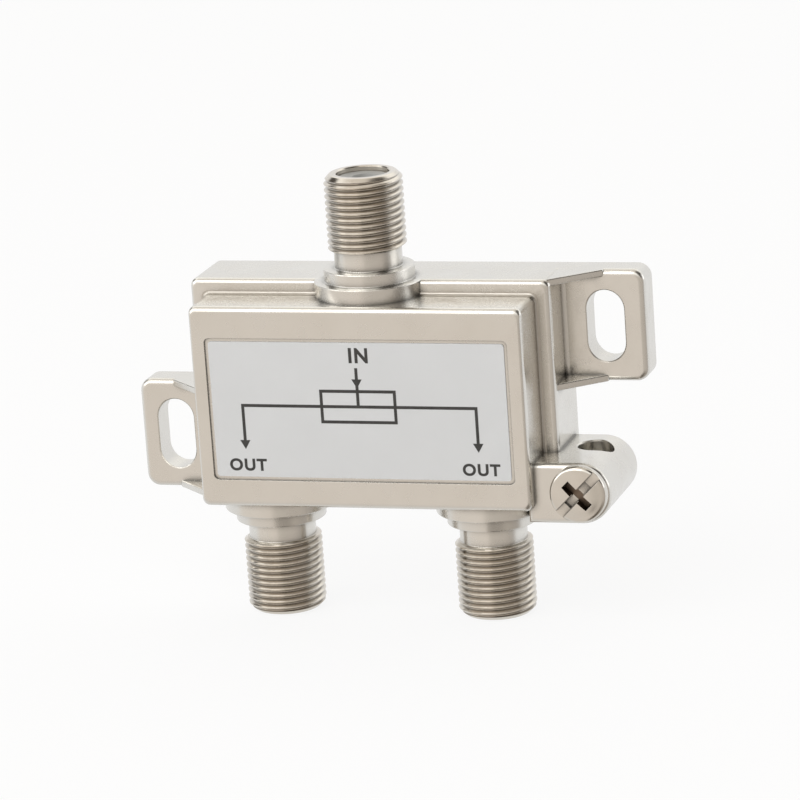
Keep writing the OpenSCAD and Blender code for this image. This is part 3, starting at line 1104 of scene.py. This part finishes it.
@dataclass
class GroundScrew:
    """The ground screw: a pan head with a cross recess over a driver slot, and a threaded shank, in millimetres."""

    wardrobe: Wardrobe
    head_height: float = 1.68
    side_height: float = 0.7
    shoulder: float = 0.6
    crown: float = 0.38
    shank_diameter: float = 3.9
    length: float = 8.0
    tip_bevel: float = 0.6
    pitch: float = 0.7
    plain: float = 0.9
    cross_width: float = 1.45
    cross_span: float = 4.5
    cross_depth: float = 1.1
    cross_taper: float = 0.62
    slot_width: float = 1.2
    slot_depth: float = 0.7
    turn: float = 45.0
    softness: float = 0.12
    arc_steps: int = 7

    def outline(self, radius: float) -> list[tuple[float, float]]:
        """Returns the screw's turned outline, from its tip to the top of its head.

        Args:
            radius: the head's radius.
        """
        shank = self.shank_diameter / 2
        rim = radius - self.shoulder
        rise = self.head_height - self.crown - self.side_height
        quarter = [math.pi / 2 * step / self.arc_steps for step in range(self.arc_steps + 1)]
        shares = [1 - step / self.arc_steps for step in range(1, self.arc_steps)]
        return [
            (shank - self.tip_bevel, -self.length),
            (shank, self.tip_bevel - self.length),
            (shank, 0),
            (radius - self.softness, 0),
            (radius, self.softness),
            *[(rim + self.shoulder * math.cos(angle), self.side_height + rise * math.sin(angle)) for angle in quarter],
            *[(rim * share, self.head_height - self.crown * share**2) for share in shares],
        ]

    def recesses(self) -> list[bpy.types.Object]:
        """Returns the cutters of the cross recess and of the slot, along X and Y."""
        top = self.head_height
        half = self.cross_span / 2
        wings = []
        for turn, floor in ((0, top - self.cross_depth + 0.02), (90, top - self.cross_depth)):
            wing = block((-half, -self.cross_width / 2, floor), (half, self.cross_width / 2, top + 1))
            select_parts(wing, "FACE", lambda co: co.z < top - self.cross_depth / 2)
            bpy.ops.transform.resize(value=(0.8, self.cross_taper, 1))
            bpy.ops.object.mode_set(mode="OBJECT")
            place_mesh(wing, Matrix.Rotation(math.radians(turn), 4, "Z"))
            wings.append(wing)
        reach = half * 2
        slot = block(
            (-reach, -self.slot_width / 2, top - self.slot_depth), (reach, self.slot_width / 2, top + 1)
        )
        return [*wings, slot]

    def build(self) -> bpy.types.Object:
        """Returns the finished screw, which rides on its own body."""
        low, high = (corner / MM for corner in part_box("ground_screw"))
        seat = high.y - self.length
        piece = turning(self.outline((high.x - low.x) / 2))
        groove = HelicalGroove(
            self.shank_diameter / 2, self.pitch, -self.length - self.pitch, -self.plain, crest_flat=0.12, steps=48
        )
        combine(piece, "DIFFERENCE", groove.build(), *self.recesses())
        middle = Vector(((low.x + high.x) / 2, seat, (low.z + high.z) / 2))
        turned = Matrix.Rotation(math.pi / 2, 4, "X") @ Matrix.Rotation(math.radians(self.turn), 4, "Z")
        seated = Matrix.Translation(middle) @ turned
        place_mesh(piece, seated)
        finish_mesh(piece, "ground_clamp_screw")
        self.wardrobe.dress(piece, Finish.SCREW, Finish.RECESS)
        self.paint_recess_shade(piece, seated.inverted())
        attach(piece, Body.SCREW.value)
        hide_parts("ground_screw")
        return piece

    def paint_recess_shade(self, piece: bpy.types.Object, home: Matrix) -> None:
        """Puts the dark material on the walls and floor of the wing that crosses the slot: painted shade.

        Args:
            piece: the screw, in metres.
            home: the move back to the Z axis, in millimetres.
        """
        for face in piece.data.polygons:
            place = home @ (face.center / MM)
            upright = abs((home.to_3x3() @ face.normal).z) < 0.5
            within = abs(place.x) < self.cross_width / 2 + 0.02 and abs(place.y) < self.cross_span / 2 + 0.02
            under = self.head_height - place.z
            if within and place.z > 0 and (upright or under > self.slot_depth + 0.1):
                face.material_index = 1


@dataclass
class Insulators:
    """The moulded insulators, with a funnel for the plug's wire, in millimetres."""

    wardrobe: Wardrobe
    radius: float = 3.15
    flange_height: float = 1.2
    wire_radius: float = 0.7
    contact_radius: float = 1.15
    funnel_radius: float = 1.3
    funnel_depth: float = 0.7
    skin: float = 1.3
    softness: float = 0.15

    def build(self) -> list[bpy.types.Object]:
        """Returns one insulator for each port."""
        low, high = (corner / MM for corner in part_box("in_insulator"))
        flange = (high.x - low.x) / 2
        base, face = low.z, high.z
        shape = turning([
            (flange, base),
            (flange, base + self.flange_height),
            (self.radius, base + self.flange_height),
            (self.radius, face - self.softness),
            (self.radius - self.softness, face),
        ])
        slope = (self.funnel_radius - self.wire_radius) / self.funnel_depth
        combine(shape, "DIFFERENCE", turning([
            (self.contact_radius, base - 1),
            (self.contact_radius, face - self.skin),
            (self.wire_radius, face - self.skin),
            (self.wire_radius, face - self.funnel_depth),
            (self.funnel_radius + slope, face + 1),
        ], sides=48))
        pieces = repeat(shape, len(PORTS))
        for name, piece in zip(PORTS, pieces):
            node = name.replace("port", "insulator")
            place_mesh(piece, at_port(Mount(name)))
            finish_mesh(piece, f"turned_{node}")
            self.wardrobe.dress(piece, Finish.INSULATOR)
            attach(piece, Body.SPLITTER.value)
            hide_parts(node)
        return pieces


@dataclass(frozen=True)
class Lettering:
    """One generic port mark, in millimetres."""

    text: str
    middle: tuple[float, float]
    width: float
    height: float
    weight: float = 0.036
    spacing: float = 1.16

    def build(self) -> bpy.types.Object:
        """Returns the letters as closed shapes that stand in the XZ plane, one millimetre thick."""
        deselect_all()
        bpy.ops.object.text_add(rotation=(math.pi / 2, 0, 0))
        letters = bpy.context.object
        letters.data.body = self.text
        letters.data.offset = self.weight
        letters.data.space_character = self.spacing
        letters.data.extrude = 0.5
        bpy.ops.object.convert(target="MESH")
        place_mesh(letters, Matrix.Identity(4))
        weld(letters)
        places = [vertex.co for vertex in letters.data.vertices]
        left, right = min(co.x for co in places), max(co.x for co in places)
        foot, head = min(co.z for co in places), max(co.z for co in places)
        share = Matrix.Diagonal((self.width / (right - left), 1, self.height / (head - foot), 1))
        back = Matrix.Translation((-(left + right) / 2, 0, -(foot + head) / 2))
        place_mesh(letters, Matrix.Translation((self.middle[0], 0, self.middle[1])) @ share @ back)
        return letters


@dataclass
class LabelPrint:
    """The print on the label: the port marks and a plain line diagram of the split, in millimetres."""

    wardrobe: Wardrobe
    marks: tuple[Lettering, ...] = (
        Lettering("IN", (0.38, 6.63), 2.41, 1.87),
        Lettering("OUT", (-14.42, -7.1), 4.72, 1.55),
        Lettering("OUT", (14.82, -7.27), 4.68, 1.52),
    )
    stroke: float = 0.38
    lead_top: float = 4.9
    bar_height: float = 0.3
    bar_reach: float = 14.6
    drop_foot: float = -4.4
    frame_reach: float = 4.6
    frame_half: float = 1.9
    arrow: float = 0.75
    film: float = 0.01

    def line(self, start: tuple[float, float], end: tuple[float, float]) -> bpy.types.Object:
        """Returns one straight stroke.

        Args:
            start: the lower left end of its middle line, along X and Z.
            end: the upper right end.
        """
        half = self.stroke / 2
        return block((start[0] - half, -0.5, start[1] - half), (end[0] + half, 0.5, end[1] + half))

    def pointer(self, tip: tuple[float, float]) -> bpy.types.Object:
        """Returns an arrowhead that points down.

        Args:
            tip: the place of its tip, along X and Z.
        """
        deselect_all()
        bpy.ops.mesh.primitive_cylinder_add(
            vertices=3, radius=self.arrow, depth=1, location=(tip[0], 0, tip[1] + self.arrow),
            rotation=(-math.pi / 2, 0, 0),
        )
        return bpy.context.object

    def diagram(self) -> bpy.types.Object:
        """Returns the line diagram: one lead into a frame, and two drops out of it."""
        reach, bar, frame_top = self.bar_reach, self.bar_height, self.bar_height + self.frame_half
        side, frame_foot = self.frame_reach, self.bar_height - self.frame_half
        piece = self.line((-reach, bar), (reach, bar))
        combine(
            piece, "UNION",
            self.line((0, bar), (0, self.lead_top)),
            self.line((-side, frame_top), (side, frame_top)),
            self.line((-side, frame_foot), (side, frame_foot)),
            self.line((-side, frame_foot), (-side, frame_top)),
            self.line((side, frame_foot), (side, frame_top)),
            self.line((-reach, self.drop_foot), (-reach, bar)),
            self.line((reach, self.drop_foot), (reach, bar)),
            self.pointer((0, frame_top + self.stroke)),
            self.pointer((-reach, self.drop_foot - self.arrow)),
            self.pointer((reach, self.drop_foot - self.arrow)),
        )
        return piece

    def build(self) -> bpy.types.Object:
        """Returns the finished print, a little proud of the label's face."""
        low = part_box("label")[0] / MM
        pieces = [self.diagram(), *[mark.build() for mark in self.marks]]
        make_active(pieces[0])
        for piece in pieces:
            piece.select_set(True)
        bpy.ops.object.join()
        piece = bpy.context.object
        place_mesh(piece, Matrix.Translation((0, low.y, 0)) @ Matrix.Scale(2 * self.film, 4, (0, 1, 0)))
        finish_mesh(piece, "label_print")
        self.wardrobe.dress(piece, Finish.INK)
        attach(piece, Body.SPLITTER.value)
        return piece


@dataclass
class CameraRig:
    """The photograph's viewpoint, in millimetres and degrees."""

    yaw: float = 17.767
    pitch: float = 14.897
    roll: float = -3.945
    distance: float = 567.249
    aim: Colour = (3.355, -9.954, -0.427)
    lens: float = 212.3
    sensor: float = 36.0

    def build(self) -> bpy.types.Object:
        """Returns the scene's camera."""
        yaw, pitch, roll = (math.radians(angle) for angle in (self.yaw, self.pitch, self.roll))
        back = Vector((math.sin(yaw) * math.cos(pitch), -math.cos(yaw) * math.cos(pitch), math.sin(pitch)))
        level = Vector((math.cos(yaw), math.sin(yaw), 0))
        up = back.cross(level)
        right = level * math.cos(roll) + up * math.sin(roll)
        top = up * math.cos(roll) - level * math.sin(roll)
        data = bpy.data.cameras.new("product_camera")
        data.lens = self.lens
        data.sensor_width = self.sensor
        data.clip_start = 0.01
        data.clip_end = 20
        camera = bpy.data.objects.new("product_camera", data)
        bpy.context.scene.collection.objects.link(camera)
        place = (Vector(self.aim) + back * self.distance) * MM
        camera.matrix_world = Matrix.Translation(place) @ Matrix((right, top, back)).transposed().to_4x4()
        bpy.context.scene.camera = camera
        return camera


@dataclass(frozen=True)
class SoftBox:
    """A square lamp that points at the splitter."""

    name: str
    place: Colour
    size: float
    strength: float
    tint: Colour = (1, 1, 1)

    def build(self) -> bpy.types.Object:
        """Returns the lamp, which looks as bright as a surface of its strength."""
        data = bpy.data.lights.new(self.name, "AREA")
        data.shape = "SQUARE"
        data.size = self.size
        data.energy = self.strength * math.pi * self.size**2
        data.color = self.tint
        lamp = bpy.data.objects.new(self.name, data)
        bpy.context.scene.collection.objects.link(lamp)
        lamp.location = self.place
        lamp.rotation_mode = "QUATERNION"
        lamp.rotation_quaternion = (-lamp.location).to_track_quat("-Z", "Y")
        return lamp


@dataclass
class Studio:
    """The pale floor, the surroundings and the lamps."""

    floor_size: float = 8.0
    floor_tone: Colour = (0.885, 0.89, 0.905)
    lamps: tuple[SoftBox, ...] = (
        SoftBox("top_softbox", (-0.25, -0.5, 0.62), 0.55, 1.3),
        SoftBox("left_softbox", (-0.75, -0.35, 0.35), 0.4, 1.5),
        SoftBox("right_softbox", (0.75, 0.25, 0.3), 0.5, 0.8),
    )
    room_strength: float = 0.9
    overhead: Colour = (1.38, 1.36, 1.30)
    zenith: Colour = (0.90, 0.84, 0.76)
    shade: Colour = (0.09, 0.08, 0.07)
    shades: tuple[tuple[Colour, float, float], ...] = (
        ((0.69, -0.06, 0.72), 0.80, 0.91),
        ((-0.80, 0.31, 0.51), 0.945, 0.985),
    )
    level_tones: tuple[tuple[float, Colour], ...] = (
        (-180, (1.0, 1.0, 1.0)),
        (-85, (1.0, 1.0, 1.0)),
        (-70, (0.93, 0.87, 0.80)),
        (-4, (0.91, 0.83, 0.75)),
        (5, (0.72, 0.66, 0.59)),
        (60, (0.64, 0.58, 0.52)),
        (86, (0.50, 0.46, 0.42)),
        (98, (1.0, 1.0, 1.0)),
        (180, (1.0, 1.0, 1.0)),
    )
    low_tones: tuple[tuple[float, Colour], ...] = (
        (-180, (0.85, 0.85, 0.84)),
        (-85, (0.92, 0.91, 0.89)),
        (-4, (0.82, 0.75, 0.68)),
        (4, (0.13, 0.11, 0.09)),
        (38, (0.17, 0.145, 0.12)),
        (50, (0.46, 0.41, 0.35)),
        (88, (0.36, 0.32, 0.28)),
        (98, (0.92, 0.91, 0.89)),
        (180, (0.85, 0.85, 0.84)),
    )

    def build(self) -> None:
        """Builds the floor, the surroundings and the lamps."""
        bpy.context.scene.view_settings.view_transform = "Standard"
        self.floor()
        self.surroundings()
        for lamp in self.lamps:
            lamp.build()

    def floor(self) -> None:
        """Lays the floor under the lower ports."""
        deselect_all()
        low = CAD_BOX[0].z
        bpy.ops.mesh.primitive_plane_add(size=self.floor_size, location=(0, 0, low))
        floor = bpy.context.object
        floor.name = "studio_floor"
        nodes = Nodes("studio_floor")
        tree = nodes.tree
        nodes.shader.inputs["Base Color"].default_value = (*self.floor_tone, 1)
        nodes.shader.inputs["Roughness"].default_value = 0.9
        path = nodes.add("ShaderNodeLightPath")
        glow = nodes.add("ShaderNodeEmission", Color=(1, 1, 1, 1), Strength=1.0)
        share = nodes.add("ShaderNodeMath", operation="MULTIPLY")
        tree.links.new(path.outputs["Is Camera Ray"], share.inputs[0])
        share.inputs[1].default_value = 0.86
        mix = nodes.add("ShaderNodeMixShader", Fac=share.outputs["Value"])
        tree.links.new(nodes.shader.outputs["BSDF"], mix.inputs[1])
        tree.links.new(glow.outputs["Emission"], mix.inputs[2])
        tree.links.new(mix.outputs["Shader"], tree.nodes["Material Output"].inputs["Surface"])
        floor.data.materials.append(nodes.material)
        floor.visible_glossy = False

    def surroundings(self) -> None:
        """Makes the room: white behind, warm at the front left, dim at the front right and bright overhead."""
        world = bpy.data.worlds.new("studio")
        bpy.context.scene.world = world
        world.use_nodes = True
        tree = world.node_tree
        tree.nodes.clear()
        place = tree.nodes.new("ShaderNodeTexCoord").outputs["Generated"]
        parts = tree.nodes.new("ShaderNodeSeparateXYZ")
        tree.links.new(place, parts.inputs["Vector"])
        flip = tree.nodes.new("ShaderNodeMath")
        flip.operation = "MULTIPLY"
        flip.inputs[1].default_value = -1
        tree.links.new(parts.outputs["Y"], flip.inputs[0])
        azimuth = tree.nodes.new("ShaderNodeMath")
        azimuth.operation = "ARCTAN2"
        tree.links.new(parts.outputs["X"], azimuth.inputs[0])
        tree.links.new(flip.outputs["Value"], azimuth.inputs[1])
        span = self.spread(tree, azimuth.outputs["Value"], -math.pi, math.pi, "LINEAR")
        level, low = (self.ramp(tree, span, tones) for tones in (self.level_tones, self.low_tones))
        walls = self.blend(tree, self.spread(tree, parts.outputs["Z"], -0.7, -0.35), low, level)
        sky = self.blend(tree, self.spread(tree, parts.outputs["Z"], 0.3, 0.6), walls, self.overhead)
        sky = self.blend(tree, self.spread(tree, parts.outputs["Z"], 0.78, 0.92), sky, self.zenith)
        for direction, edge, core in self.shades:
            toward = tree.nodes.new("ShaderNodeVectorMath")
            toward.operation = "DOT_PRODUCT"
            toward.inputs[1].default_value = direction
            tree.links.new(place, toward.inputs[0])
            sky = self.blend(tree, self.spread(tree, toward.outputs["Value"], edge, core), sky, self.shade)
        room = tree.nodes.new("ShaderNodeBackground")
        tree.links.new(sky, room.inputs["Color"])
        room.inputs["Strength"].default_value = self.room_strength
        white = tree.nodes.new("ShaderNodeBackground")
        white.inputs["Color"].default_value = (1, 1, 1, 1)
        path = tree.nodes.new("ShaderNodeLightPath")
        mix = tree.nodes.new("ShaderNodeMixShader")
        tree.links.new(path.outputs["Is Camera Ray"], mix.inputs["Fac"])
        tree.links.new(room.outputs["Background"], mix.inputs[1])
        tree.links.new(white.outputs["Background"], mix.inputs[2])
        out = tree.nodes.new("ShaderNodeOutputWorld")
        tree.links.new(mix.outputs["Shader"], out.inputs["Surface"])

    @staticmethod
    def spread(
        tree: bpy.types.NodeTree, value: bpy.types.NodeSocket, low: float, high: float, kind: str = "SMOOTHSTEP"
    ) -> bpy.types.NodeSocket:
        """Maps a span of a value to 0 to 1.

        Args:
            tree: the room's nodes.
            value: the value.
            low: the value that gives 0.
            high: the value that gives 1.
            kind: the way between them.

        Returns:
            The mapped value.
        """
        node = tree.nodes.new("ShaderNodeMapRange")
        node.interpolation_type = kind
        node.inputs["From Min"].default_value = low
        node.inputs["From Max"].default_value = high
        tree.links.new(value, node.inputs["Value"])
        return node.outputs["Result"]

    @staticmethod
    def ramp(
        tree: bpy.types.NodeTree, value: bpy.types.NodeSocket, tones: tuple[tuple[float, Colour], ...]
    ) -> bpy.types.NodeSocket:
        """Colours the room round the splitter.

        Args:
            tree: the room's nodes.
            value: the azimuth, from 0 to 1.
            tones: each azimuth in degrees, 0 toward the viewer and 90 to the right, with its colour.

        Returns:
            The colour.
        """
        node = tree.nodes.new("ShaderNodeValToRGB")
        tree.links.new(value, node.inputs["Fac"])
        while len(node.color_ramp.elements) < len(tones):
            node.color_ramp.elements.new(0.5)
        for element, (angle, colour) in zip(node.color_ramp.elements, tones):
            element.position = (angle + 180) / 360
            element.color = (*colour, 1)
        return node.outputs["Color"]

    @staticmethod
    def blend(
        tree: bpy.types.NodeTree, share: bpy.types.NodeSocket, low: bpy.types.NodeSocket,
        high: bpy.types.NodeSocket | Colour,
    ) -> bpy.types.NodeSocket:
        """Blends two colours of the room.

        Args:
            tree: the room's nodes.
            share: 0 for the first colour and 1 for the second.
            low: the first colour.
            high: the second colour, linked or plain.

        Returns:
            The blended colour.
        """
        node = tree.nodes.new("ShaderNodeMix")
        node.data_type = "RGBA"
        tree.links.new(share, node.inputs["Factor"])
        tree.links.new(low, node.inputs["A"])
        if isinstance(high, bpy.types.NodeSocket):
            tree.links.new(high, node.inputs["B"])
        else:
            node.inputs["B"].default_value = (*high, 1)
        return node.outputs["Result"]


@dataclass
class Insides:
    """The pieces that keep the frame's own meshes."""

    wardrobe: Wardrobe
    finishes: dict[str, Finish] = field(default_factory=lambda: {
        "housing": Finish.CASTING,
        "rear_cover": Finish.TINPLATE,
        "cover_solder": Finish.SOLDER,
        "label": Finish.FILM,
        "ground_screw": Finish.SCREW,
        "circuit_board": Finish.LAMINATE,
        "isolation_resistor": Finish.RESISTOR,
        "insulator": Finish.INSULATOR,
        "contact": Finish.BRASS,
        "core": Finish.FERRITE,
        "winding": Finish.COPPER,
        "capacitor": Finish.CERAMIC,
    })

    def dress(self) -> None:
        """Gives every node the finish that its name ends with."""
        for name, piece in frame["nodes"].items():
            for ending, finish in self.finishes.items():
                if name.endswith(ending):
                    self.wardrobe.dress(piece, finish)


def main() -> None:
    """Builds the splitter's pieces in order, then the studio round them."""
    logging.basicConfig(level=logging.INFO, format="%(message)s")
    wardrobe = Wardrobe()
    CameraRig().build()
    Insides(wardrobe).dress()
    Casting(wardrobe).build()
    GroundScrew(wardrobe).build()
    Insulators(wardrobe).build()
    LabelPrint(wardrobe).build()
    Studio().build()


if __name__ == "__main__":
    main()
